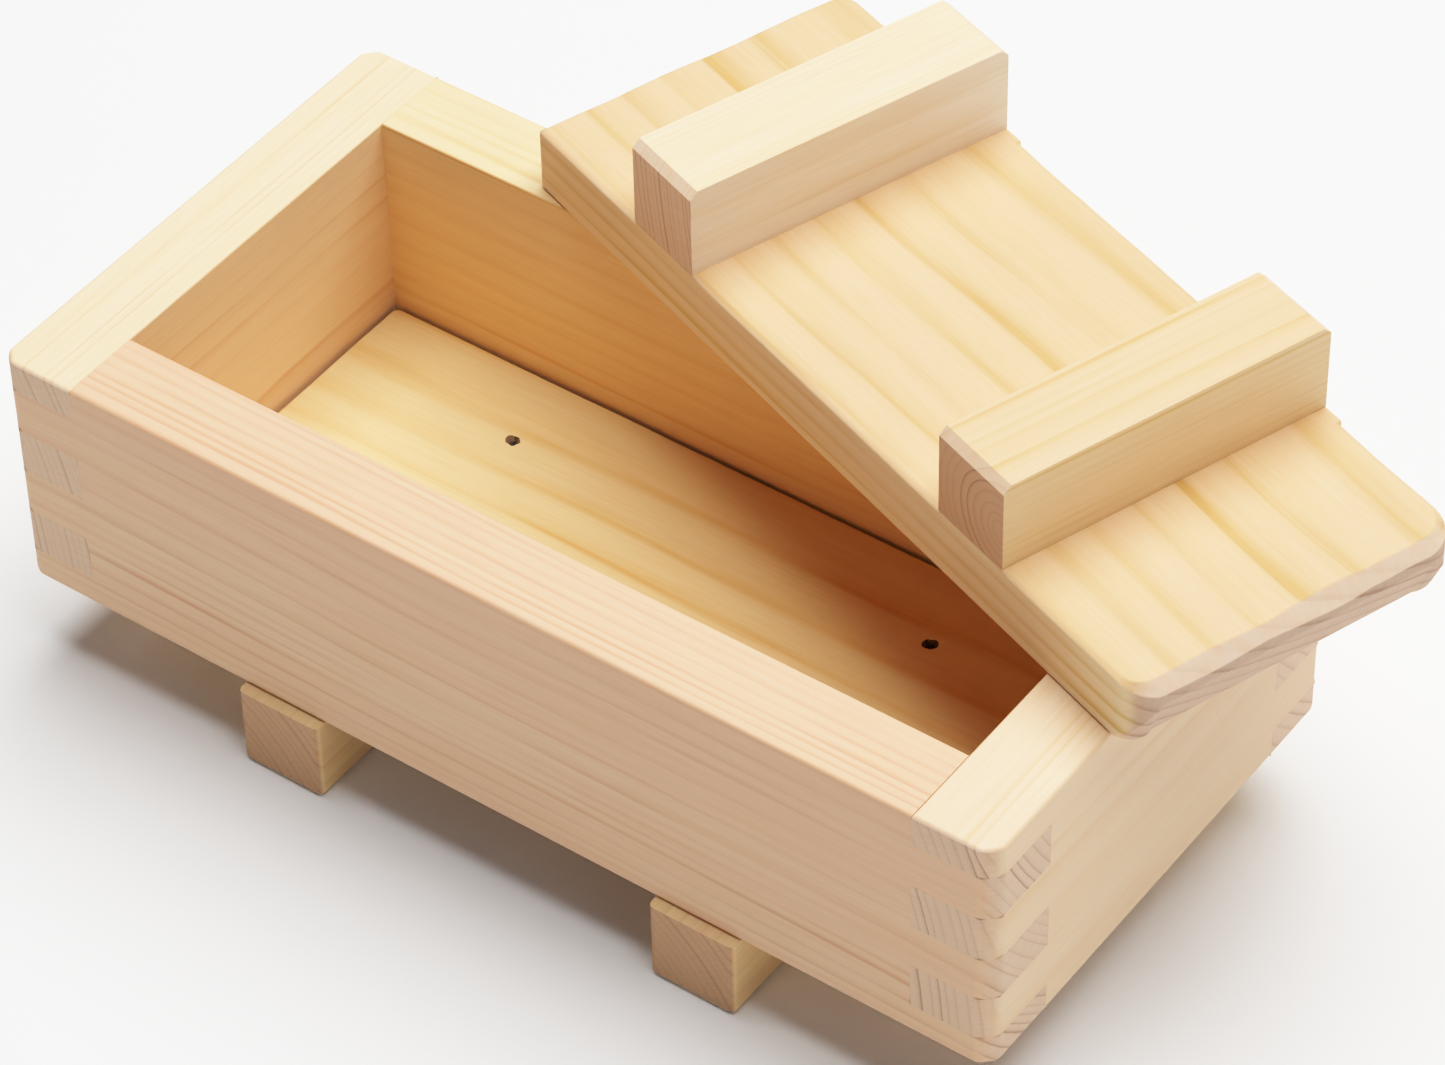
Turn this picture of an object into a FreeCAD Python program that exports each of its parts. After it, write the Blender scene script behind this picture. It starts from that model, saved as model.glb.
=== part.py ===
import FreeCAD, Part
import os
import Sketcher

# A wooden mould for pressed rice, in millimetres: a footed base board, a bottomless finger-jointed
# frame that drops over the board, and a press lid with two battens for handles, laid askew on the rim.
# The origin is the middle of the mould's floor, the base board's top face. X runs along the frame,
# Y from its front wall to its back wall, and Z up.

DIMENSIONS = {
    # the bottomless frame
    "frame_length": 200,
    "frame_width": 100,
    "frame_height": 49.5,
    "long_wall_thickness": 16,
    "short_wall_thickness": 15.4,
    "finger": 9.25,
    "frame_corner_chamfer": 2.4,
    # the base board, which the frame drops over
    "board_clearance": 0.8,
    "board_thickness": 8,
    "board_corner_radius": 1.5,
    # the cross battens: feet under the board, handles on the lid
    "batten_spacing": 86,
    "batten_width": 17,
    "foot_height": 16.5,
    "foot_overhang": 2.2,
    "foot_edge_radius": 1.2,
    "handle_height": 17.5,
    "handle_end_chamfer": 1.5,
    # the press lid
    "lid_length": 168,
    "lid_width": 65,
    "lid_thickness": 13,
    "lid_chamfer": 1.5,
    "lid_near_left_corner_radius": 1.6,
    "lid_far_left_corner_radius": 3.5,
    "lid_right_corner_radius": 5.5,
    "lid_handles_shift": 2.25,
    "lid_rest_offset_x": 37.9,
    "lid_rest_offset_y": 38.8,
    "lid_rest_turn": 19.7,
    # the wire nails, two to each cross batten
    "nail_radius": 0.8,
    "nail_head_radius": 1.1,
    "nail_head_height": 0.6,
    "nail_head_depth": 1.4,
    "nail_point_length": 1.8,
    "nail_grip": 11,
    "nail_spacing": 34,
    "left_base_nail_shift": 2.2,
}


# sizes worked out from the sheet, as expressions
BOARD_LENGTH = "(dims.frame_length - 2 * (dims.short_wall_thickness + dims.board_clearance))"
BOARD_WIDTH = "(dims.frame_width - 2 * (dims.long_wall_thickness + dims.board_clearance))"
FOOT_LENGTH = "(dims.frame_width + 2 * dims.foot_overhang)"
SUNK_DEPTH = "dims.nail_head_depth + dims.nail_head_height"
BOARD_MIDDLE = f"{BOARD_LENGTH} / 2"
HANDLES_MIDDLE = "(dims.lid_length / 2 - dims.lid_handles_shift)"
HANDLE_STARTS = [
    f"{HANDLES_MIDDLE} {side} dims.batten_spacing / 2 - dims.batten_width / 2" for side in "-+"
]


def make_sheet(doc):
    """Put every driving dimension in one spreadsheet, each cell under its own alias."""
    sheet = doc.addObject("Spreadsheet::Sheet", "dims")
    for row, (alias, value) in enumerate(DIMENSIONS.items(), start=1):
        sheet.set(f"A{row}", alias)
        sheet.set(f"B{row}", str(value))
        sheet.setAlias(f"B{row}", alias)
    doc.recompute()
    return sheet


def make_body(doc, label):
    body = doc.addObject("PartDesign::Body", label)
    body.Label = label
    return body


def make_sketch(body, name, role, offset=None):
    """A sketch on one of the body's own origin planes, raised along the plane's normal by an offset."""
    sketch = body.newObject("Sketcher::SketchObject", name)
    plane = next(f for f in body.Origin.OriginFeatures if f.Role == role)
    sketch.AttachmentSupport = (plane, [""])
    sketch.MapMode = "FlatFace"
    if offset:
        sketch.setExpression(".AttachmentOffset.Base.z", offset)
    return sketch


def pin(sketch, geometry, point, place):
    """Tie a point of a sketch to the sheet: a pair of expressions, measured from the sketch's origin."""
    for kind, axis, expression in (("DistanceX", -2, place[0]), ("DistanceY", -1, place[1])):
        if expression == "0":
            sketch.addConstraint(Sketcher.Constraint("PointOnObject", geometry, point, axis))
        else:
            value = float(sketch.evalExpression(expression))
            index = sketch.addConstraint(
                Sketcher.Constraint(kind, -1, 1, geometry, point, value)
            )
            sketch.setExpression(f"Constraints[{index}]", expression)


def add_polygon(sketch, corners):
    """A closed outline through corners that are pairs of expressions."""
    points = [
        FreeCAD.Vector(*(float(sketch.evalExpression(e)) for e in corner), 0) for corner in corners
    ]
    sides = []
    for start, end in zip(points, points[1:] + points[:1]):
        sides.append(sketch.addGeometry(Part.LineSegment(start, end), False))
    for side, following in zip(sides, sides[1:] + sides[:1]):
        sketch.addConstraint(Sketcher.Constraint("Coincident", side, 2, following, 1))
    for side, corner in zip(sides, corners):
        pin(sketch, side, 1, corner)


def add_rectangle(sketch, left, bottom, right, top):
    add_polygon(sketch, [(left, bottom), (right, bottom), (right, top), (left, top)])


def add_circles(sketch, centres, radius):
    for place in centres:
        centre = FreeCAD.Vector(*(float(sketch.evalExpression(e)) for e in place), 0)
        size = float(sketch.evalExpression(radius))
        circle = sketch.addGeometry(Part.Circle(centre, FreeCAD.Vector(0, 0, 1), size), False)
        pin(sketch, circle, 3, place)
        index = sketch.addConstraint(Sketcher.Constraint("Radius", circle, size))
        sketch.setExpression(f"Constraints[{index}]", radius)


def pad(body, sketch, length, name):
    feature = body.newObject("PartDesign::Pad", name)
    feature.Profile = sketch
    feature.setExpression("Length", length)
    body.Document.recompute()
    return feature


def pocket(body, sketch, name, length=None, upward=False):
    """Cut a profile out of the body: to a depth, or right through on both sides of the sketch."""
    before = body.Shape.Volume
    feature = body.newObject("PartDesign::Pocket", name)
    feature.Profile = sketch
    if length:
        feature.setExpression("Length", length)
        feature.Reversed = upward
    else:
        feature.Type = "ThroughAll"
        feature.Midplane = True
    body.Document.recompute()
    if body.Shape.Volume >= before:
        raise RuntimeError(f"{body.Label}: {name} cut nothing")
    return feature


def dress(body, kind, name, edges, size):
    """Round or chamfer the chosen edges of the body's last feature."""
    base = body.Tip
    feature = body.newObject(f"PartDesign::{kind}", name)
    feature.Base = (base, edges)
    feature.setExpression("Radius" if kind == "Fillet" else "Size", size)
    body.Document.recompute()
    return feature


def edge_names(body, wanted):
    """The names of the edges of the body's last feature whose two ends satisfy wanted(a, b)."""
    edges = body.Tip.Shape.Edges
    return [
        f"Edge{n}"
        for n, edge in enumerate(edges, start=1)
        if len(edge.Vertexes) == 2 and wanted(edge.Vertexes[0].Point, edge.Vertexes[1].Point)
    ]


def upright(a, b):
    return abs(a.x - b.x) + abs(a.y - b.y) < 0.01


def at_height(level):
    return lambda a, b: abs(a.z - level) + abs(b.z - level) < 0.01


def upright_at(x, y):
    return lambda a, b: upright(a, b) and abs(a.x - x) + abs(a.y - y) < 0.01


def make_wall(doc, label, length, thickness, notch_depth, own_top):
    """A wall of the frame, its outer face along X at Y 0, notched at both ends for the other walls.

    Six fingers alternate up each corner: four whole ones between two short ones. A wall that has the
    top finger is notched under it, and one that hasn't is notched at the top.
    """
    body = make_body(doc, label)
    outline = make_sketch(body, f"{label}_outline", "XY_Plane")
    chamfer = "dims.frame_corner_chamfer"
    add_polygon(
        outline,
        [
            (chamfer, "0"),
            (f"{length} - {chamfer}", "0"),
            (length, chamfer),
            (length, thickness),
            ("0", thickness),
            ("0", chamfer),
        ],
    )
    pad(body, outline, "dims.frame_height", f"{label}_board")

    low = "(dims.frame_height - 4 * dims.finger) / 2"
    high = "(dims.frame_height + 4 * dims.finger) / 2"
    if own_top:
        spans = [("0", low)]
        spans += [(f"{high} - {n + 1} * dims.finger", f"{high} - {n} * dims.finger") for n in (0, 2)]
    else:
        spans = [(high, "dims.frame_height")]
        spans += [(f"{low} + {n} * dims.finger", f"{low} + {n + 1} * dims.finger") for n in (0, 2)]
    notches = make_sketch(body, f"{label}_notches", "XZ_Plane")
    for bottom, top in spans:
        add_rectangle(notches, "0", bottom, notch_depth, top)
        add_rectangle(notches, f"{length} - {notch_depth}", bottom, length, top)
    pocket(body, notches, f"{label}_fingers")
    return body


def nail_rows(battens_middle, shift="0"):
    """The X of each batten's nails in a board: the left batten's row, then the right one's."""
    half = "dims.batten_spacing / 2"
    return [f"{battens_middle} - {half} - {shift}", f"{battens_middle} + {half}"]


def nail_places(rows, board_width):
    half = "dims.nail_spacing / 2"
    columns = [f"{board_width} / 2 - {half}", f"{board_width} / 2 + {half}"]
    return [(row, column) for row in rows for column in columns]


def make_base_board(doc):
    """The board that closes the mould's bottom, with a bore and a sunk head for each nail."""
    label = "base_board"
    body = make_body(doc, label)
    outline = make_sketch(body, "base_board_outline", "XY_Plane")
    add_rectangle(outline, "0", "0", BOARD_LENGTH, BOARD_WIDTH)
    pad(body, outline, "dims.board_thickness", "base_board_blank")
    dress(body, "Fillet", "base_board_corners", edge_names(body, upright), "dims.board_corner_radius")

    places = nail_places(nail_rows(BOARD_MIDDLE, "dims.left_base_nail_shift"), BOARD_WIDTH)
    bores = make_sketch(body, "base_board_bores", "XY_Plane")
    add_circles(bores, places, "dims.nail_radius")
    pocket(body, bores, "base_board_nail_bores")
    heads = make_sketch(body, "base_board_heads", "XY_Plane", "dims.board_thickness")
    add_circles(heads, places, "dims.nail_head_radius")
    pocket(body, heads, "base_board_nail_heads", SUNK_DEPTH)
    return body


def make_foot(doc, label, nail_x):
    """A cross batten under the board: its top is flat, its lower edges are rounded over."""
    body = make_body(doc, label)
    outline = make_sketch(body, f"{label}_outline", "XY_Plane")
    add_rectangle(outline, "0", "0", "dims.batten_width", FOOT_LENGTH)
    pad(body, outline, "dims.foot_height", f"{label}_batten")
    eased = edge_names(body, lambda a, b: upright(a, b) or at_height(0)(a, b))
    dress(body, "Fillet", f"{label}_edges", eased, "dims.foot_edge_radius")

    bores = make_sketch(body, f"{label}_bores", "XY_Plane", "dims.foot_height")
    add_circles(bores, nail_places([nail_x], FOOT_LENGTH), "dims.nail_radius")
    pocket(body, bores, f"{label}_nail_bores", "dims.nail_grip")
    return body


def make_lid_board(doc, dims):
    """The board that presses: chamfered round its top, but left square where a handle's end bears."""
    body = make_body(doc, "lid_board")
    outline = make_sketch(body, "lid_board_outline", "XY_Plane")
    add_rectangle(outline, "0", "0", "dims.lid_length", "dims.lid_width")
    pad(body, outline, "dims.lid_thickness", "lid_board_blank")
    for name, x, y, radius in (
        ("near_left", 0, 0, "dims.lid_near_left_corner_radius"),
        ("near_right", dims.lid_length, 0, "dims.lid_right_corner_radius"),
        ("far_left", 0, dims.lid_width, "dims.lid_far_left_corner_radius"),
        ("far_right", dims.lid_length, dims.lid_width, "dims.lid_right_corner_radius"),
    ):
        dress(body, "Fillet", f"lid_board_{name}", edge_names(body, upright_at(x, y)), radius)
    rim = edge_names(body, at_height(dims.lid_thickness))
    dress(body, "Chamfer", "lid_board_chamfer", rim, "dims.lid_chamfer")

    top, width, chamfer = "dims.lid_thickness", "dims.lid_width", "dims.lid_chamfer"
    for name, start in zip(("left", "right"), HANDLE_STARTS):
        lands = make_sketch(body, f"lid_board_{name}_lands", "YZ_Plane", start)
        add_polygon(lands, [("0", f"{top} - {chamfer}"), (chamfer, top), ("0", top)])
        add_polygon(
            lands,
            [(width, f"{top} - {chamfer}"), (width, top), (f"{width} - {chamfer}", top)],
        )
        pad(body, lands, "dims.batten_width", f"lid_board_{name}_seat")

    places = nail_places(nail_rows(HANDLES_MIDDLE), "dims.lid_width")
    bores = make_sketch(body, "lid_board_bores", "XY_Plane")
    add_circles(bores, places, "dims.nail_radius")
    pocket(body, bores, "lid_board_nail_bores")
    heads = make_sketch(body, "lid_board_heads", "XY_Plane")
    add_circles(heads, places, "dims.nail_head_radius")
    pocket(body, heads, "lid_board_nail_heads", SUNK_DEPTH, upward=True)
    return body


def make_handle(doc, dims, label):
    """A cross batten on the lid, as long as the lid is wide, bevelled at the ends of its top."""
    body = make_body(doc, label)
    outline = make_sketch(body, f"{label}_outline", "XY_Plane")
    add_rectangle(outline, "0", "0", "dims.batten_width", "dims.lid_width")
    pad(body, outline, "dims.handle_height", f"{label}_batten")
    top = at_height(dims.handle_height)
    ends = edge_names(body, lambda a, b: top(a, b) and abs(a.y - b.y) < 0.01)
    dress(body, "Chamfer", f"{label}_bevels", ends, "dims.handle_end_chamfer")

    bores = make_sketch(body, f"{label}_bores", "XY_Plane")
    places = nail_places(["dims.batten_width / 2"], "dims.lid_width")
    add_circles(bores, places, "dims.nail_radius")
    pocket(body, bores, f"{label}_nail_bores", "dims.nail_grip", upward=True)
    return body


def nail_shape(dims, board_thickness):
    """One nail hanging point down from the origin, the top of its sunk head."""
    reach = board_thickness - dims.nail_head_depth + dims.nail_grip
    shank = reach - dims.nail_head_height - dims.nail_point_length
    down = FreeCAD.Vector(0, 0, -1)
    head = Part.makeCylinder(dims.nail_head_radius, dims.nail_head_height, FreeCAD.Vector(), down)
    neck = FreeCAD.Vector(0, 0, -dims.nail_head_height)
    body = Part.makeCylinder(dims.nail_radius, shank, neck, down)
    tip = FreeCAD.Vector(0, 0, -dims.nail_head_height - shank)
    point = Part.makeCone(dims.nail_radius, 0, dims.nail_point_length, tip, down)
    return head.fuse([body, point]).removeSplitter()


def make_nails(doc, dims, label, places, board_thickness, head_level, points_up):
    """A group of separate nails, all alike, in the frame of the board that they hold."""
    nail = nail_shape(dims, board_thickness)
    if points_up:
        nail.rotate(FreeCAD.Vector(), FreeCAD.Vector(1, 0, 0), 180)
    nails = []
    for place in places:
        x, y = (float(dims.evalExpression(e)) for e in place)
        nails.append(nail.translated(FreeCAD.Vector(x, y, head_level)))
    group = doc.addObject("Part::Feature", label)
    group.Label = label
    group.Shape = Part.makeCompound(nails)
    return group


def place(piece, x, y, z, turn=0):
    """Stand a piece at its place, turned about Z by an angle in degrees."""
    rotation = FreeCAD.Rotation(FreeCAD.Vector(0, 0, 1), turn)
    piece.Placement = FreeCAD.Placement(FreeCAD.Vector(x, y, z), rotation)
    return piece


def make_frame(doc, dims):
    half_length, half_width = dims.frame_length / 2, dims.frame_width / 2
    long_wall = ("dims.frame_length", "dims.long_wall_thickness", "dims.short_wall_thickness")
    short_wall = ("dims.frame_width", "dims.short_wall_thickness", "dims.long_wall_thickness")
    bottom = -dims.board_thickness
    return [
        place(make_wall(doc, "front_wall", *long_wall, False), -half_length, -half_width, bottom),
        place(make_wall(doc, "right_wall", *short_wall, True), half_length, -half_width, bottom, 90),
        place(make_wall(doc, "back_wall", *long_wall, False), half_length, half_width, bottom, 180),
        place(make_wall(doc, "left_wall", *short_wall, True), -half_length, half_width, bottom, 270),
    ]


def make_base(doc, dims):
    board = make_base_board(doc)
    length = float(dims.evalExpression(BOARD_LENGTH))
    width = float(dims.evalExpression(BOARD_WIDTH))
    corner = (-length / 2, -width / 2, -dims.board_thickness)
    place(board, *corner)

    foot_y = -dims.frame_width / 2 - dims.foot_overhang
    foot_z = -dims.board_thickness - dims.foot_height
    middle = "dims.batten_width / 2"
    feet = []
    for label, side, nail_x in (
        ("left_foot", -1, f"{middle} - dims.left_base_nail_shift"),
        ("right_foot", 1, middle),
    ):
        foot_x = (side * dims.batten_spacing - dims.batten_width) / 2
        feet.append(place(make_foot(doc, label, nail_x), foot_x, foot_y, foot_z))

    places = nail_places(nail_rows(BOARD_MIDDLE, "dims.left_base_nail_shift"), BOARD_WIDTH)
    level = dims.board_thickness - dims.nail_head_depth
    nails = make_nails(doc, dims, "base_nails", places, dims.board_thickness, level, False)
    place(nails, *corner)
    return [board, *feet, nails]


def make_lid(doc, dims):
    """The lid and what is nailed to it, laid on the rim and turned clockwise about the lid's middle."""
    turn = -dims.lid_rest_turn
    rotation = FreeCAD.Rotation(FreeCAD.Vector(0, 0, 1), turn)
    rim = dims.frame_height - dims.board_thickness

    def on_lid(piece, x, y, z):
        local = FreeCAD.Vector(x - dims.lid_length / 2, y - dims.lid_width / 2, 0)
        spot = rotation.multVec(local)
        return place(
            piece,
            dims.lid_rest_offset_x + spot.x,
            dims.lid_rest_offset_y + spot.y,
            rim + z,
            turn,
        )

    pieces = [on_lid(make_lid_board(doc, dims), 0, 0, 0)]
    for label, start in zip(("left_handle", "right_handle"), HANDLE_STARTS):
        x = float(dims.evalExpression(start))
        pieces.append(on_lid(make_handle(doc, dims, label), x, 0, dims.lid_thickness))
    places = nail_places(nail_rows(HANDLES_MIDDLE), "dims.lid_width")
    depth = dims.nail_head_depth
    nails = make_nails(doc, dims, "lid_nails", places, dims.lid_thickness, depth, True)
    pieces.append(on_lid(nails, 0, 0, 0))
    return pieces


def check(doc, pieces):
    """Stop before anything is written if a feature failed or a piece has no sound shape."""
    failed = [o.Label for o in doc.Objects if {"Invalid", "Error"} & set(o.State)]
    if failed:
        raise RuntimeError(f"failed objects: {failed}")
    for piece in pieces:
        shape = piece.Shape
        if shape.isNull() or not shape.isValid() or not shape.Solids:
            raise RuntimeError(f"{piece.Label} has no sound shape")


def main():
    doc = FreeCAD.newDocument("rice_press_mould")
    dims = make_sheet(doc)
    pieces = make_frame(doc, dims) + make_base(doc, dims) + make_lid(doc, dims)
    doc.recompute()
    check(doc, pieces)
    os.makedirs("parts", exist_ok=True)
    for piece in pieces:
        piece.Shape.exportStep(f"parts/{piece.Label}.step")
        print(f"{piece.Label}: {len(piece.Shape.Solids)} solid(s), {piece.Shape.Volume:.1f} mm3")


main()
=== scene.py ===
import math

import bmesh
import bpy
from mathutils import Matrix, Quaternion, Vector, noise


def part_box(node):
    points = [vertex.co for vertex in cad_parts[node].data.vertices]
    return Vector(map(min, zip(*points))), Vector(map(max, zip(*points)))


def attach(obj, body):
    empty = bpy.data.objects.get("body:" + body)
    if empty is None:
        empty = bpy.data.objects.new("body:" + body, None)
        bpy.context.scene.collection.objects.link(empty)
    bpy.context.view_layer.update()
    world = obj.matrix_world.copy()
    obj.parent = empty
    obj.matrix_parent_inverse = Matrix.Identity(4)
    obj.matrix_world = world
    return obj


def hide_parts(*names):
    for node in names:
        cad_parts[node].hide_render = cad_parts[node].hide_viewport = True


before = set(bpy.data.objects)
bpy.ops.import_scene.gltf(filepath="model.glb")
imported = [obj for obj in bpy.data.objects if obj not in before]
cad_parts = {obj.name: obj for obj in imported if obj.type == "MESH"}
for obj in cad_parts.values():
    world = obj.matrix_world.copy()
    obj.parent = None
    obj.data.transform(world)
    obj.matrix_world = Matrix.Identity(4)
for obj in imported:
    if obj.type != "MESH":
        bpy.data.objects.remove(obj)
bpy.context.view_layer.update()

# The looks of a wooden mould for pressed rice: a bottomless finger-jointed frame stands round a base
# board on two feet, and the lid, a board with two handles, lies askew across the frame's rim.
# Every board is a new mesh made from the CAD node's own outline, with its arrises eased, and is
# shaded by a solid block of growth rings, so that its faces, edges and ends all agree.

MM = 0.001


# --- Measures of the object, read from the frame -------------------------------------------------

FRAME_LOW, FRAME_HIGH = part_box("front_wall")
HALF_LENGTH = FRAME_HIGH.x
HALF_WIDTH = -FRAME_LOW.y
RIM = FRAME_HIGH.z
FRAME_FOOT = FRAME_LOW.z
LONG_WALL_INSIDE = -FRAME_HIGH.y
SHORT_WALL_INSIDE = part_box("right_wall")[0].x
FOOT_LOW, FOOT_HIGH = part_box("left_foot")
SOLE = FOOT_LOW.z
BATTEN_WIDTH = FOOT_HIGH.x - FOOT_LOW.x

LID_TURN = math.radians(-19.7)
SAME = 0.02 * MM


def middle(node):
    """The middle of a CAD node's box."""
    low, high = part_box(node)
    return (low + high) / 2


def board_place(node, turn):
    """A board's own frame: its origin is the board's middle, and its X runs along the grain."""
    return Matrix.Translation(middle(node)) @ Matrix.Rotation(turn, 4, "Z")


# --- Shader building -----------------------------------------------------------------------------


class Shader:
    """A material and short ways to add nodes to it. A value is a number or another node's socket."""

    def __init__(self, name):
        self.material = bpy.data.materials.new(name)
        self.material.use_nodes = True
        self.tree = self.material.node_tree
        self.surface = self.tree.nodes["Principled BSDF"]

    def node(self, kind, **settings):
        made = self.tree.nodes.new("ShaderNode" + kind)
        for key, value in settings.items():
            setattr(made, key, value)
        return made

    def feed(self, socket, value):
        if isinstance(value, bpy.types.NodeSocket):
            self.tree.links.new(value, socket)
        else:
            socket.default_value = value

    def math(self, operation, *values, clamp=False):
        made = self.node("Math", operation=operation, use_clamp=clamp)
        for socket, value in zip(made.inputs, values):
            self.feed(socket, value)
        return made.outputs[0]

    def plus(self, first, second):
        return self.math("ADD", first, second)

    def minus(self, first, second):
        return self.math("SUBTRACT", first, second)

    def times(self, first, second):
        return self.math("MULTIPLY", first, second)

    def vector(self, operation, *values):
        made = self.node("VectorMath", operation=operation)
        for socket, value in zip(made.inputs, values):
            self.feed(socket, value)
        return made.outputs["Value" if operation == "LENGTH" else "Vector"]

    def combine(self, x, y, z):
        made = self.node("CombineXYZ")
        for socket, value in zip(made.inputs, (x, y, z)):
            self.feed(socket, value)
        return made.outputs[0]

    def separate(self, vector):
        made = self.node("SeparateXYZ")
        self.feed(made.inputs[0], vector)
        return made.outputs

    def millimetres(self):
        """The place in the piece's own frame, in millimetres."""
        return self.vector("MULTIPLY", self.node("TexCoord").outputs["Object"], (1 / MM, 1 / MM, 1 / MM))

    def grains(self, place, size):
        """The place counted in grains of a size along, across and up the board."""
        return self.vector("MULTIPLY", place, [1 / length for length in size])

    def noise(self, vector, detail, roughness=0.5):
        """Noise from 0 to 1."""
        made = self.node("TexNoise", noise_dimensions="3D")
        self.feed(made.inputs["Vector"], vector)
        made.inputs["Scale"].default_value = 1.0
        made.inputs["Detail"].default_value = detail
        made.inputs["Roughness"].default_value = roughness
        return made.outputs["Fac"]

    def noise_line(self, value, detail):
        """Noise from 0 to 1 along a line."""
        made = self.node("TexNoise", noise_dimensions="1D")
        self.feed(made.inputs["W"], value)
        made.inputs["Scale"].default_value = 1.0
        made.inputs["Detail"].default_value = detail
        return made.outputs["Fac"]

    def chance(self, value):
        """A random number from 0 to 1 for each whole value."""
        made = self.node("TexWhiteNoise", noise_dimensions="1D")
        self.feed(made.inputs["W"], value)
        return made.outputs["Value"]

    def spread(self, value, low, high, to_low=0.0, to_high=1.0, smooth=True):
        """The value's way from low to high, as a way from to_low to to_high."""
        made = self.node("MapRange", interpolation_type="SMOOTHSTEP" if smooth else "LINEAR")
        for socket, number in zip(made.inputs, (value, low, high, to_low, to_high)):
            self.feed(socket, number)
        return made.outputs[0]

    def ramp(self, value, stops):
        """A grey level for the value, by stops of a position and a level."""
        made = self.node("ValToRGB")
        elements = made.color_ramp.elements
        while len(elements) < len(stops):
            elements.new(0.5)
        for element, (position, level) in zip(elements, stops):
            element.position = position
            element.color = (level, level, level, 1.0)
        self.feed(made.inputs[0], value)
        return made.outputs[0]

    def mix(self, share, first, second, blend="MIX"):
        made = self.node("Mix", data_type="RGBA", blend_type=blend)
        self.feed(made.inputs["Factor"], share)
        self.feed(made.inputs[6], first if isinstance(first, bpy.types.NodeSocket) else (*first, 1.0))
        self.feed(made.inputs[7], second if isinstance(second, bpy.types.NodeSocket) else (*second, 1.0))
        return made.outputs[2]

    def tint(self, colour, factor):
        """The colour times another."""
        return self.mix(1.0, colour, factor, "MULTIPLY")

    def bump(self, height, distance, strength):
        """Raises the surface where the height is more."""
        made = self.node("Bump")
        made.inputs["Strength"].default_value = strength
        made.inputs["Distance"].default_value = distance
        self.feed(made.inputs["Height"], height)
        self.feed(self.surface.inputs["Normal"], made.outputs[0])


# --- Wood ----------------------------------------------------------------------------------------

# How dark a ring is from its inner side, 0, to its outer side, 1: pale early wood that deepens
# slowly into a band of late wood, which ends sharply where the next ring starts.
SHARP_RING = [(0.0, 0.5), (0.05, 0.03), (0.4, 0.0), (0.7, 0.16), (0.84, 0.5), (0.94, 1.0), (1.0, 0.5)]
LINE_RING = [(0.0, 0.5), (0.06, 0.1), (0.35, 0.0), (0.62, 0.25), (0.82, 0.8), (0.93, 1.0), (1.0, 0.5)]
SOFT_RING = [(0.0, 0.55), (0.08, 0.12), (0.3, 0.02), (0.6, 0.2), (0.8, 0.55), (0.93, 1.0), (1.0, 0.55)]

# The figure's grain sizes in millimetres, along, across and up the board.
DRIFT_SIZE = (85, 45, 45)
JITTER_SIZE = (30, 1.6, 1.6)
PATCH_SIZE = (50, 4, 4)
CLOUD_SIZE = (110, 5, 5)
FIBRE_SIZE = (16, 0.7, 0.7)
PORE_SIZE = (0.5, 0.16, 0.16)
RUB_SIZE = (9, 2.5, 2.5)

# Each board is cut from its own stretch of the noise, this many millimetres from the next one's.
SEED_STEP = 137.0
# Noise seldom leaves the middle quarter on either side, so times this it reaches from -1 to 1.
NOISE_REACH = 4
# How fast the rings' widths change from ring to ring, and by how many rings they stray.
WIDTH_PACE = 0.37
WIDTH_STRAY = 2.2
JITTER_STRAY = 0.12
# How blurred the heartwood's edge is and how far it strays, in millimetres.
HEART_EDGE = 7.0
HEART_STRAY = 14.0
# How much the fibres darken red, green and blue.
FIBRE_TONES = (0.05, 0.11, 0.19)
# The end grain's rays: how many to a radian, and their length in millimetres.
RAYS = 400.0
RAY_LENGTH = 9

CREAM_LINE = (0.76, 0.47, 0.25)
GOLD_LINE = (0.74, 0.42, 0.155)
STREAK_PINK = (0.86, 0.54, 0.36)
STREAK_GOLD = (0.85, 0.59, 0.29)
END_PALE = (0.83, 0.57, 0.405)
END_DARK = (0.45, 0.26, 0.165)
SHORT_WALL_END = (0.75, 0.51, 0.345)
WORN_TINT = (1.0, 0.86, 0.74)
# End grain that a plane has just bevelled.
FRESH_END = (0.90, 0.67, 0.50)


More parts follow.
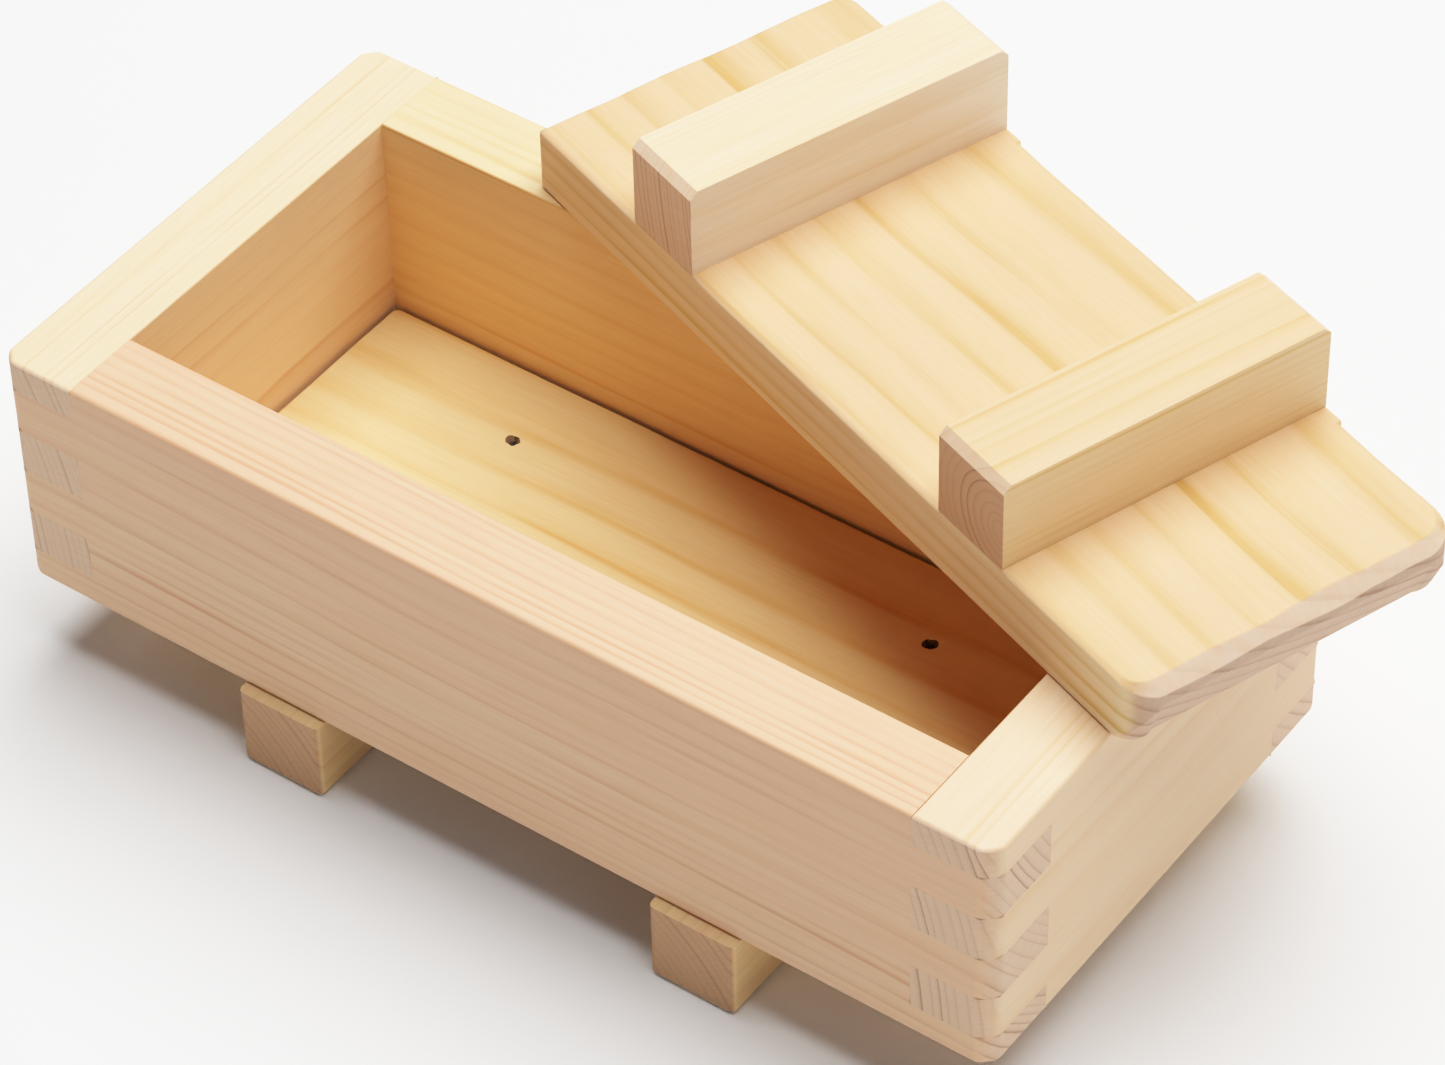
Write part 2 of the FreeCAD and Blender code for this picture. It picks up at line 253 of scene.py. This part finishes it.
def wood(name, seed, pith, spacing, early, late, end_early=END_PALE, end_late=END_DARK,
         streak=STREAK_GOLD, ring=SHARP_RING, contrast=0.6, wander=0.3, uneven=0.5, streak_share=0.35,
         even_strength=0.35, lean=0.0, heart=None, painted_side_shading=None):
    """Solid wood whose grain runs along the piece's X.

    pith is where the tree's centre lies in the board's Y and Z, in millimetres from the board's
    middle, and spacing is the mean width of a growth ring. early and late are a ring's pale and dark
    wood along the grain, end_early and end_late are the same on the ends, and streak is the colour
    of the broad streaks. contrast is how dark the late wood gets, and even_strength is how dark the
    faintest ring is. wander is how far the rings stray along the board, in millimetres, and uneven
    is how much their widths differ. lean is how much the tree's centre strays upwards for each
    millimetre along the board. heart is the radius of the pinker heartwood, whose rings are darker.
    The last argument is painted light and shade: the narrow sides' colour as a share of the broad
    faces', lighter and cooler where more light falls on them, darker where they are in shade."""
    s = Shader(name)
    place = s.vector("ADD", s.millimetres(), (seed * SEED_STEP, 0.0, 0.0))
    along, across, up = s.separate(place)
    from_middle = s.minus(along, seed * SEED_STEP)
    facing = s.separate(s.vector("ABSOLUTE", s.node("TexCoord").outputs["Normal"]))

    # A point's distance from the tree's centre, which strays along the board.
    drift_place = s.grains(place, DRIFT_SIZE)
    drift = s.minus(s.noise(drift_place, 1.0), 0.5)
    lift_place = s.vector("ADD", drift_place, (seed + 31.0, 17.0, 5.0))
    lift = s.minus(s.noise(lift_place, 1.0), 0.5)
    off_across = s.plus(s.minus(across, pith[0]), s.times(drift, NOISE_REACH * wander))
    off_up = s.plus(s.minus(up, pith[1]), s.times(lift, NOISE_REACH * wander))
    off_up = s.minus(off_up, s.times(from_middle, lean))
    radius = s.vector("LENGTH", s.combine(0.0, off_across, off_up))

    # Which ring the point is in, how far through it, and how dark the ring is.
    count = s.math("DIVIDE", radius, spacing)
    widths_place = s.plus(s.times(count, WIDTH_PACE), seed * 7.3)
    widths = s.minus(s.noise_line(widths_place, 1.0), 0.5)
    jitter = s.minus(s.noise(s.grains(place, JITTER_SIZE), 2.0), 0.5)
    count = s.plus(count, s.times(widths, WIDTH_STRAY * uneven))
    count = s.plus(count, s.times(jitter, JITTER_STRAY))
    through = s.math("FRACT", count)
    luck = s.chance(s.plus(s.math("FLOOR", count), seed * 11.0 + 0.5))
    strength = s.plus(s.times(s.math("POWER", luck, 2.0), 1.4), even_strength)

    # How much of the late wood's colour shows. It is patchy along each ring.
    patchy = s.spread(s.noise(s.grains(place, PATCH_SIZE), 1.0), 0.3, 0.7, 0.4, 1.3)
    late_share = s.times(s.times(s.ramp(through, ring), strength), s.times(patchy, contrast))
    if heart:
        strayed = s.plus(radius, s.times(jitter, HEART_STRAY))
        within = s.spread(strayed, heart + HEART_EDGE, heart - HEART_EDGE)
        late_share = s.times(late_share, s.spread(within, 0.0, 1.0, 0.6, 1.35, smooth=False))
    late_share = s.math("MINIMUM", late_share, 1.0)

    # The faces that run along the grain: rings, streaks and fibres, and painted light and shade on the narrow
    # sides.
    fibre = s.noise(s.grains(place, FIBRE_SIZE), 5.0, 0.72)
    cloud = s.spread(s.noise(s.grains(place, CLOUD_SIZE), 2.0), 0.35, 0.7)
    long_grain = s.mix(late_share, early, late)
    long_grain = s.mix(s.times(cloud, streak_share), long_grain, streak)
    if heart:
        long_grain = s.mix(s.times(within, 0.4), long_grain, streak)
    tones = [s.spread(fibre, 0.2, 0.8, 1 - tone, 1 + 0.6 * tone, smooth=False) for tone in FIBRE_TONES]
    long_grain = s.tint(long_grain, s.combine(*tones))
    # Painted light and shade: the narrow sides are tinted lighter and cooler, or darker, than the broad
    # faces, for how the light falls on them.
    if painted_side_shading:
        painted_side_mask = s.spread(facing[1], 0.6, 0.9)
        long_grain = s.mix(painted_side_mask, long_grain, s.tint(long_grain, painted_side_shading))

    # The ends: rings, rays and pores, and paler wood on a bevel.
    ray_angle = s.times(s.math("ARCTAN2", off_up, off_across), RAYS)
    ray_place = s.combine(ray_angle, s.times(radius, 1 / RAY_LENGTH), s.times(along, 0.5))
    rays = s.spread(s.noise(ray_place, 2.0, 0.7), 0.3, 0.75)
    pores = s.noise(s.grains(place, PORE_SIZE), 2.0)
    end_share = s.math("MULTIPLY", s.times(s.ramp(through, SHARP_RING), strength), 0.75, clamp=True)
    end_grain = s.mix(end_share, end_early, end_late)
    end_tone = s.plus(s.spread(rays, 0.0, 1.0, 0.97, 1.03), s.spread(pores, 0.3, 0.7, -0.05, 0.04))
    end_grain = s.tint(end_grain, s.combine(end_tone, end_tone, end_tone))
    fresh = s.times(s.spread(facing[2], 0.35, 0.5), s.spread(facing[0], 0.45, 0.6))
    end_grain = s.mix(s.times(fresh, 0.62), end_grain, FRESH_END)

    # Hands have rubbed the arrises darker and smoother, in patches.
    flattest = s.math("MAXIMUM", facing[0], s.math("MAXIMUM", facing[1], facing[2]))
    rubbed = s.spread(s.noise(s.grains(place, RUB_SIZE), 2.0), 0.3, 0.65)
    worn = s.times(s.spread(flattest, 0.99, 0.86), s.times(rubbed, 0.45))

    end_on = s.spread(facing[0], 0.35, 0.85)
    colour = s.mix(end_on, long_grain, end_grain)
    s.feed(s.surface.inputs["Base Color"], s.mix(worn, colour, s.tint(colour, WORN_TINT)))
    rough = s.plus(s.spread(fibre, 0.2, 0.8, 0.5, 0.62), s.times(end_on, 0.16))
    rough = s.minus(rough, s.times(late_share, 0.08))
    rough = s.minus(rough, s.times(worn, 0.15))
    s.feed(s.surface.inputs["Roughness"], rough)
    s.surface.inputs["Specular IOR Level"].default_value = 0.35
    relief = s.plus(s.times(fibre, 0.55), s.times(late_share, 0.5))
    relief = s.plus(relief, s.times(s.times(pores, end_on), 0.5))
    s.bump(relief, distance=0.06 * MM, strength=0.55)
    return s.material


def pit_wood():
    """Crushed wood in a nail's pit, stained dark by the nail."""
    s = Shader("pit_wood")
    crushed = s.noise(s.vector("MULTIPLY", s.millimetres(), (2.0, 3.5, 3.5)), 3.0, 0.6)
    stain = s.spread(crushed, 0.3, 0.7)
    s.feed(s.surface.inputs["Base Color"], s.mix(stain, (0.10, 0.055, 0.03), (0.34, 0.19, 0.095)))
    s.feed(s.surface.inputs["Roughness"], s.spread(crushed, 0.2, 0.8, 0.75, 0.95))
    s.bump(crushed, distance=0.1 * MM, strength=0.8)


def nail_steel():
    """Bright wire-nail steel, gone dull and dark in spots."""
    s = Shader("nail_steel")
    spots = s.noise(s.vector("MULTIPLY", s.millimetres(), (1.6, 1.6, 1.6)), 3.0, 0.6)
    spots = s.spread(spots, 0.35, 0.7)
    s.feed(s.surface.inputs["Base Color"], s.mix(spots, (0.16, 0.15, 0.14), (0.05, 0.04, 0.032)))
    s.feed(s.surface.inputs["Roughness"], s.spread(spots, 0.0, 1.0, 0.32, 0.65))
    s.surface.inputs["Metallic"].default_value = 1.0
    s.bump(spots, distance=0.03 * MM, strength=0.4)
    return s.material


# --- Boards --------------------------------------------------------------------------------------

RIM_ROUND = 0.9 * MM
INSIDE_ROUND = 0.4 * MM
CORNER_ROUND = 1.2 * MM
JOINT_ROUND = 0.03 * MM
HANDLE_ROUND = 0.8 * MM
FOOT_ROUND = 0.6 * MM
WIDEST_ROUND = CORNER_ROUND
CORNER_ZONE = 4 * MM
REAL_EDGE = math.radians(35)
FLAT_TURN = math.radians(2)
ACROSS = math.radians(90)

# A board's bevels, as their width and height: on the near side, the right end, the far side and the
# left end. The sole's bevels are the lower ones. The corner radii follow the same sides, each at its
# side's far end.
BEVEL_ROUND = 0.3 * MM
LAND_BEVEL = Vector((0.2, 0.2)) * MM
PLAIN_BEVEL = Vector((0.4, 0.4)) * MM
LID_BEVELS = [Vector(size) * MM for size in ((1.0, 0.45), (2.2, 2.7), (1.3, 1.3), (1.4, 1.4))]
LID_SOLE_BEVELS = [PLAIN_BEVEL, Vector((3.4, 8.6)) * MM, PLAIN_BEVEL, PLAIN_BEVEL]
LID_RADII = [radius * MM for radius in (5.5, 7.0, 3.5, 1.6)]
BASE_BEVELS = [PLAIN_BEVEL] * 4
BASE_RADII = [1.5 * MM] * 4
CORNER_STEPS = 8
PROFILE_POINTS = 12
STATION = 3 * MM
LONG_WAVE = 14 * MM
SHORT_WAVE = 4 * MM
EDGE_ZONE = 4 * MM
PIT_RADIUS = 1.1 * MM
PIT_DEPTH = 2.0 * MM
PIT_STEPS = 28
TEAR_SIZE = 1.0 * MM


def near(value, *levels):
    return any(abs(value - level) < SAME for level in levels)


def frame_rounding(centre, direction, _turning):
    """How far a wall's edge is eased: the rim, the foot and the corners more than the joints."""
    x, y, z = abs(centre.x), abs(centre.y), centre.z
    if abs(direction.z) > 0.9:
        on_one_outer_face = near(x, HALF_LENGTH) != near(y, HALF_WIDTH)
        at_corner = x + y > HALF_LENGTH + HALF_WIDTH - CORNER_ZONE
        return CORNER_ROUND if on_one_outer_face and at_corner else JOINT_ROUND
    if near(z, RIM, FRAME_FOOT):
        if near(x, HALF_LENGTH) or near(y, HALF_WIDTH):
            return RIM_ROUND
        if abs(direction.x) > 0.1 and abs(direction.y) > 0.1:
            return RIM_ROUND
        inside_long = near(y, LONG_WALL_INSIDE) and abs(direction.x) > 0.9
        inside_short = near(x, SHORT_WALL_INSIDE) and abs(direction.y) > 0.9
        if (inside_long and x < SHORT_WALL_INSIDE) or (inside_short and y < LONG_WALL_INSIDE):
            return INSIDE_ROUND
    return JOINT_ROUND


def even_rounding(radius):
    """Every real edge is eased alike, and the facets of a round stay as they are."""
    def rounding(_centre, _direction, turning):
        return radius if turning > REAL_EDGE else 0.0
    return rounding


def no_rounding(_centre, _direction, _turning):
    """A board that is built with its bevels needs no more easing."""
    return 0.0


def rounded_turn(before, corner, after):
    """A profile's corner as three points, from the run before it to the run after it."""
    radius = min(BEVEL_ROUND, (before - corner).length / 2.2, (after - corner).length / 2.2)
    back = (before - corner).normalized() * radius
    on = (after - corner).normalized() * radius
    return [corner + back, corner + (back + on) / 4, corner + on]


def side_steps(start, end, lands):
    """Places along a side, as pairs of the distance and whether the edge is left square there."""
    steps = round((end - start) / STATION)
    kept = []
    for step in range(steps + 1):
        place = start + (end - start) * step / steps
        if not any(low - SAME <= place <= high + SAME for low, high in lands):
            kept.append((place, False))
    for low, high in lands:
        kept += [(low - SAME, False), (low, True), (high, True), (high + SAME, False)]
    return sorted(kept)


def outline(low, high, radii, bevels, sole_bevels, lands):
    """Round a board, counter-clockwise from the near left corner: points on its side, the way out
    of the wood there, and the width and height of the bevels above and below."""
    centre = (low + high) / 2
    half = (high - low) / 2
    stations = []
    for side, (radius, bevel, sole) in enumerate(zip(radii, bevels, sole_bevels)):
        turn = Matrix.Rotation(math.radians(90 * side), 3, "Z")
        travel, out = turn @ Vector((1, 0, 0)), turn @ Vector((0, -1, 0))
        lengthwise = side % 2 == 0
        along, away = (half.x, half.y) if lengthwise else (half.y, half.x)
        start, end = radii[side - 1] - along, along - radius
        for place, square in side_steps(start, end, lands if lengthwise else []):
            spot = centre + travel * place + out * away
            waver = 1 + 0.25 * noise.noise(spot / LONG_WAVE) + 0.1 * noise.noise(spot / SHORT_WAVE)
            stations.append((spot, out, LAND_BEVEL if square else bevel * waver, sole))
        hub = centre + travel * end + out * (away - radius)
        following = (side + 1) % 4
        for step in range(1, CORNER_STEPS):
            share = step / CORNER_STEPS
            way = out * math.cos(share * ACROSS) + travel * math.sin(share * ACROSS)
            turning = bevel.lerp(bevels[following], share)
            turning.x = min(turning.x, radius - 1.2 * BEVEL_ROUND)
            lower = sole.lerp(sole_bevels[following], share)
            stations.append((hub + way * radius, way, turning, lower))
    return stations


def corners(shape):
    """The lowest and highest corners of a shape's box."""
    return [Vector(end(vertex.co[axis] for vertex in shape.verts) for axis in range(3)) for end in (min, max)]


def pit_middles(shape, level):
    """The middle of each nail hole's mouth at a level of the board: there is one to each quarter."""
    _low, high = corners(shape)
    quarters = {}
    for vertex in shape.verts:
        x, y, z = vertex.co
        if near(z, level) and abs(x) < high.x - EDGE_ZONE and abs(y) < high.y - EDGE_ZONE:
            quarters.setdefault((x > 0, y > 0), []).append(vertex.co.copy())
    return [sum(ring, Vector()) / len(ring) for _quarter, ring in sorted(quarters.items())]


def closed_loop(shape, points):
    """A loop of vertices, and its edges."""
    loop = [shape.verts.new(point) for point in points]
    return loop, [shape.edges.new((loop[step - 1], loop[step])) for step in range(len(loop))]


def bridge(shape, first, second):
    """Four-sided faces between two loops of as many vertices."""
    for step in range(len(first)):
        shape.faces.new((first[step - 1], first[step], second[step], second[step - 1]))


def pit(shape, centre, inward):
    """A nail's dark pit: a mouth torn wider along the grain than across it, and a flat bottom. It
    gives its mouth's edges."""
    mouth, floor = [], []
    for step in range(PIT_STEPS):
        angle = 2 * math.pi * step / PIT_STEPS
        way = Vector((math.cos(angle), math.sin(angle), 0.0))
        rim = centre + way * PIT_RADIUS
        tear = 1.12 + 0.4 * noise.noise(rim / TEAR_SIZE)
        mouth.append(centre + Vector((way.x * 1.1, way.y, 0.0)) * PIT_RADIUS * tear)
        floor.append(rim + Vector((0.0, 0.0, inward * PIT_DEPTH)))
    mouth_loop, mouth_edges = closed_loop(shape, mouth)
    floor_loop, _floor_edges = closed_loop(shape, floor)
    before = len(shape.faces)
    bridge(shape, mouth_loop, floor_loop)
    shape.faces.new(floor_loop)
    shape.faces.ensure_lookup_table()
    for face in shape.faces[before:]:
        face.material_index = 1
    return mouth_edges


def edge_profile(low, high, bevel, sole):
    """A board's edge from its underside to its top, as points of depth into the wood and height."""
    heel = Vector((sole.x, low))
    foot = Vector((0.0, low + sole.y))
    shoulder = Vector((0.0, high - bevel.y))
    brow = Vector((bevel.x, high))
    return (rounded_turn(Vector((EDGE_ZONE, low)), heel, foot)
            + rounded_turn(heel, foot, shoulder)
            + rounded_turn(foot, shoulder, brow)
            + rounded_turn(shoulder, brow, Vector((bevel.x + EDGE_ZONE, high))))


def planed(radii, bevels, sole_bevels, pits_on_top, handles=()):
    """Makes a board's wear: it is built again with the bevels that a plane left, which are square
    under the ends of its handles, and with the pits that its nail heads sit in."""
    def wear(shape):
        low, high = corners(shape)
        pits = pit_middles(shape, high.z if pits_on_top else low.z)
        lift, level = Vector((0.0, 0.0, 1.0)), Vector((1.0, 1.0, 0.0))
        shape.clear()
        lands = [(place - BATTEN_WIDTH / 2, place + BATTEN_WIDTH / 2) for place in handles]
        rings = [[] for _point in range(PROFILE_POINTS)]
        for spot, out, bevel, sole in outline(low, high, radii, bevels, sole_bevels, lands):
            for ring, point in zip(rings, edge_profile(low.z, high.z, bevel, sole)):
                ring.append(spot * level - out * point.x + lift * point.y)
        loops = [closed_loop(shape, ring) for ring in rings]
        for (first, _first_edges), (second, _second_edges) in zip(loops, loops[1:]):
            bridge(shape, first, second)
        pit_edges = [edge for spot in pits for edge in pit(shape, spot, -1 if pits_on_top else 1)]
        open_side, plain_side = (loops[-1], loops[0]) if pits_on_top else (loops[0], loops[-1])
        shape.faces.new(plain_side[0])
        bmesh.ops.triangle_fill(shape, edges=open_side[1] + pit_edges, use_beauty=True)
        bmesh.ops.recalc_face_normals(shape, faces=shape.faces)
    return wear


def weigh_edges(shape, place, rounding):
    """Gives each edge its share of the widest bevel."""
    weight = shape.edges.layers.float.new("bevel_weight_edge")
    for edge in shape.edges:
        first, second = (place @ vertex.co for vertex in edge.verts)
        turning = edge.calc_face_angle(0.0)
        if turning > FLAT_TURN:
            eased = rounding((first + second) / 2, (second - first).normalized(), turning)
            edge[weight] = eased / WIDEST_ROUND


def apply_bevels(piece):
    """Eases the weighed edges for good, and keeps the flat faces looking flat."""
    bevel = piece.modifiers.new("eased edges", "BEVEL")
    bevel.limit_method = "WEIGHT"
    bevel.width = WIDEST_ROUND
    bevel.segments = 3
    bevel.use_clamp_overlap = True
    weighted = piece.modifiers.new("flat faces stay flat", "WEIGHTED_NORMAL")
    weighted.weight = 100
    weighted.keep_sharp = True
    bpy.context.view_layer.update()
    made = bpy.data.meshes.new_from_object(piece.evaluated_get(bpy.context.evaluated_depsgraph_get()))
    piece.modifiers.clear()
    piece.data = made
    made.name = piece.name


def board(name, node, body, turn, material, rounding=no_rounding, wear=None):
    """A board in place of a CAD node: the node's outline, with its edges eased."""
    place = board_place(node, turn)
    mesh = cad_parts[node].data.copy()
    mesh.name = name
    mesh.materials.clear()
    mesh.transform(place.inverted())
    shape = bmesh.new()
    shape.from_mesh(mesh)
    bmesh.ops.remove_doubles(shape, verts=shape.verts, dist=SAME / 4)
    bmesh.ops.dissolve_limit(shape, angle_limit=math.radians(0.5), verts=shape.verts, edges=shape.edges)
    if wear:
        wear(shape)
    weigh_edges(shape, place, rounding)
    shape.to_mesh(mesh)
    shape.free()
    mesh.materials.append(material)
    if wear:
        mesh.materials.append(bpy.data.materials["pit_wood"])
    mesh.shade_smooth()
    piece = bpy.data.objects.new(name, mesh)
    bpy.context.scene.collection.objects.link(piece)
    piece.matrix_world = place
    apply_bevels(piece)
    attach(piece, body)
    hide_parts(node)


def make_frame():
    """The four finger-jointed walls."""
    front = wood("front_wall_wood", 1.0, pith=(70.0, 55.0), spacing=1.9, early=(0.79, 0.53, 0.33),
                 late=(0.62, 0.285, 0.15), end_early=(0.75, 0.52, 0.365), streak=(0.78, 0.455, 0.29),
                 ring=LINE_RING, contrast=0.85, wander=0.5, uneven=0.6, streak_share=0.55, lean=-0.014,
                 heart=92.0)
    back = wood("back_wall_wood", 2.0, pith=(70.0, 55.0), spacing=2.6, early=(0.87, 0.65, 0.365),
                late=GOLD_LINE, ring=LINE_RING)
    left = wood("left_wall_wood", 3.0, pith=(123.0, -28.0), spacing=1.46, early=(0.88, 0.66, 0.42),
                late=CREAM_LINE, end_early=SHORT_WALL_END, end_late=(0.56, 0.365, 0.25), contrast=0.5,
                streak_share=0.2)
    right = wood("right_wall_wood", 4.0, pith=(123.0, -28.0), spacing=1.9, early=(0.86, 0.615, 0.405),
                 late=(0.76, 0.45, 0.20), end_early=SHORT_WALL_END, streak=(0.84, 0.575, 0.36),
                 ring=LINE_RING, contrast=0.45, streak_share=0.4, lean=-0.03)
    for side, turn, material in (("front", 0.0, front), ("back", 0.0, back),
                                 ("left", ACROSS, left), ("right", ACROSS, right)):
        board(side + "_board", side + "_wall", "frame", turn, material, frame_rounding)


def make_base():
    """The base board on its two feet."""
    bottom = wood("base_board_wood", 5.0, pith=(60.0, -150.0), spacing=2.9, early=(0.83, 0.605, 0.32),
                  late=(0.70, 0.385, 0.12), ring=SOFT_RING, contrast=1.0, wander=0.5, uneven=0.2,
                  even_strength=0.9)
    board("mould_floor_board", "base_board", "base", 0.0, bottom,
          wear=planed(BASE_RADII, BASE_BEVELS, BASE_BEVELS, pits_on_top=True))
    # Painted shade under the box: the feet's end grain is darker than the other boards' ends, and their
    # narrow sides are tinted darker and warmer than their broad faces.
    for side, seed in (("left", 6.0), ("right", 7.0)):
        foot = wood(side + "_foot_wood", seed, pith=(30.0, -26.0), spacing=1.7, early=(0.88, 0.66, 0.38),
                    late=CREAM_LINE, end_early=(0.59, 0.35, 0.2), streak=STREAK_PINK, contrast=0.5,
                    painted_side_shading=(0.97, 0.93, 0.85))
        board(side + "_foot_batten", side + "_foot", "base", ACROSS, foot,
              even_rounding(FOOT_ROUND))


def make_lid():
    """The lid board and its two handles."""
    # The lid's side tone is painted light: its narrow sides are tinted paler and cooler than its broad faces.
    top = wood("lid_wood", 8.0, pith=(73.5, 212.0), spacing=3.3, early=(0.77, 0.495, 0.285),
               late=(0.62, 0.345, 0.115), end_early=(0.63, 0.43, 0.305), streak=(0.78, 0.51, 0.25),
               ring=SOFT_RING, contrast=0.66, wander=0.5, uneven=0.0, streak_share=0.2,
               even_strength=0.75, painted_side_shading=(1.17, 1.4, 1.58))
    to_lid = board_place("lid_board", LID_TURN).inverted()
    handles = [(to_lid @ middle(side + "_handle")).x for side in ("left", "right")]
    board("lid_top_board", "lid_board", "lid", LID_TURN, top,
          wear=planed(LID_RADII, LID_BEVELS, LID_SOLE_BEVELS, pits_on_top=False, handles=handles))
    # The handles' side tones are painted light: their narrow sides are tinted paler and cooler than their
    # broad faces.
    left = wood("left_handle_wood", 9.0, pith=(-90.0, 12.0), spacing=1.3, early=(0.88, 0.655, 0.42),
                late=CREAM_LINE, end_early=(0.82, 0.59, 0.41), end_late=(0.52, 0.31, 0.20),
                contrast=0.4, streak_share=0.3, painted_side_shading=(1.05, 1.2, 1.48))
    right = wood("right_handle_wood", 10.0, pith=(-8.0, -1.0), spacing=1.8, early=(0.795, 0.52, 0.30),
                 late=(0.66, 0.37, 0.12), end_early=(0.70, 0.44, 0.27), streak=(0.78, 0.50, 0.25),
                 ring=LINE_RING, contrast=0.75, uneven=0.6, painted_side_shading=(1.15, 1.28, 1.34))
    for side, material in (("left", left), ("right", right)):
        board(side + "_handle_batten", side + "_handle", "lid", LID_TURN + ACROSS, material,
              even_rounding(HANDLE_ROUND))


def make_nails():
    """The nails keep their CAD shape and get a steel that has dulled."""
    steel = nail_steel()
    for node in ("base_nails", "lid_nails"):
        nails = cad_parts[node].data
        nails.materials.clear()
        nails.materials.append(steel)


# --- Camera, floor and light ---------------------------------------------------------------------


def make_camera():
    """Above the object's near right corner, looking down at it through a long lens."""
    azimuth, elevation, roll = math.radians(36.68), math.radians(43.9), math.radians(-1.375)
    target = Vector((-1.5, 19.05, 0.0)) * MM
    distance = 976.2 * MM
    forward = Vector((-math.sin(azimuth) * math.cos(elevation),
                      math.cos(azimuth) * math.cos(elevation),
                      -math.sin(elevation)))
    data = bpy.data.cameras.new("camera")
    data.lens = 141.7
    data.sensor_width = 36.0
    data.clip_start = 0.05
    camera = bpy.data.objects.new("camera", data)
    camera.location = target - forward * distance
    camera.rotation_mode = "QUATERNION"
    camera.rotation_quaternion = forward.to_track_quat("-Z", "Y") @ Quaternion((0.0, 0.0, 1.0), roll)
    bpy.context.scene.collection.objects.link(camera)
    bpy.context.scene.camera = camera


def make_floor():
    """A plain pale floor."""
    bpy.ops.mesh.primitive_plane_add(size=2.2, location=(0.0, 0.0, SOLE))
    floor = bpy.context.object
    floor.name = "floor"
    s = Shader("floor")
    s.surface.inputs["Base Color"].default_value = (0.93, 0.93, 0.925, 1.0)
    s.surface.inputs["Roughness"].default_value = 0.9
    s.surface.inputs["Specular IOR Level"].default_value = 0.1
    floor.data.materials.append(s.material)


def soft_box(name, place, size, power, colour):
    """A square soft box at a place, turned towards the object."""
    data = bpy.data.lights.new(name, "AREA")
    data.shape = "SQUARE"
    data.size = size
    data.energy = power
    data.color = colour
    light = bpy.data.objects.new(name, data)
    light.location = place
    light.rotation_mode = "QUATERNION"
    light.rotation_quaternion = (-Vector(place)).to_track_quat("-Z", "Y")
    bpy.context.scene.collection.objects.link(light)


# How bright the surround is as a light, and as the background that the camera sees past the floor.
SURROUND_LIGHT = 0.13
SURROUND_SEEN = 2.0


def make_light():
    """A broad soft box overhead, two weaker and cooler ones at the right and the front, and an even
    pale surround."""
    soft_box("overhead", (0.04, 0.38, 1.3), 1.4, 56.0, (1.0, 1.0, 1.0))
    soft_box("right_fill", (1.5, -0.5, 0.3), 0.9, 4.4, (0.88, 1.0, 1.15))
    soft_box("front_fill", (0.0, -1.5, 0.3), 0.9, 3.6, (0.86, 1.0, 1.2))
    world = bpy.data.worlds.new("surround")
    world.use_nodes = True
    tree = world.node_tree
    background = tree.nodes["Background"]
    background.inputs["Color"].default_value = (1.0, 1.0, 1.0, 1.0)
    seen = tree.nodes.new("ShaderNodeLightPath").outputs["Is Camera Ray"]
    strength = tree.nodes.new("ShaderNodeMapRange")
    strength.inputs["To Min"].default_value = SURROUND_LIGHT
    strength.inputs["To Max"].default_value = SURROUND_SEEN
    tree.links.new(seen, strength.inputs["Value"])
    tree.links.new(strength.outputs[0], background.inputs["Strength"])
    bpy.context.scene.world = world


# The film's curve: the brightest light that it takes in, its contrast, and the lights it is drawn through.
FILM_WHITE = 4.0
FILM_CONTRAST = 1.3
FILM_POINTS = (0.1, 0.25, 0.45, 0.7, 1.0, 1.4, 1.9, 2.5, 3.2)


def film(light):
    """How bright a light value comes out: a soft toe, and a shoulder that never quite reaches white."""
    return 1.0 - math.exp(-light ** FILM_CONTRAST)


def set_film():
    """Gives the picture the response of a film, so that the palest wood keeps its colour."""
    settings = bpy.context.scene.view_settings
    settings.view_transform = "Standard"
    settings.use_curve_mapping = True
    mapping = settings.curve_mapping
    mapping.white_level = (FILM_WHITE, FILM_WHITE, FILM_WHITE)
    mapping.extend = "HORIZONTAL"
    curve = mapping.curves[3]
    curve.points[1].location = (1.0, film(FILM_WHITE))
    for light in FILM_POINTS:
        curve.points.new(light / FILM_WHITE, film(light))
    mapping.update()


make_camera()
pit_wood()
make_frame()
make_base()
make_lid()
make_nails()
make_floor()
make_light()
set_film()
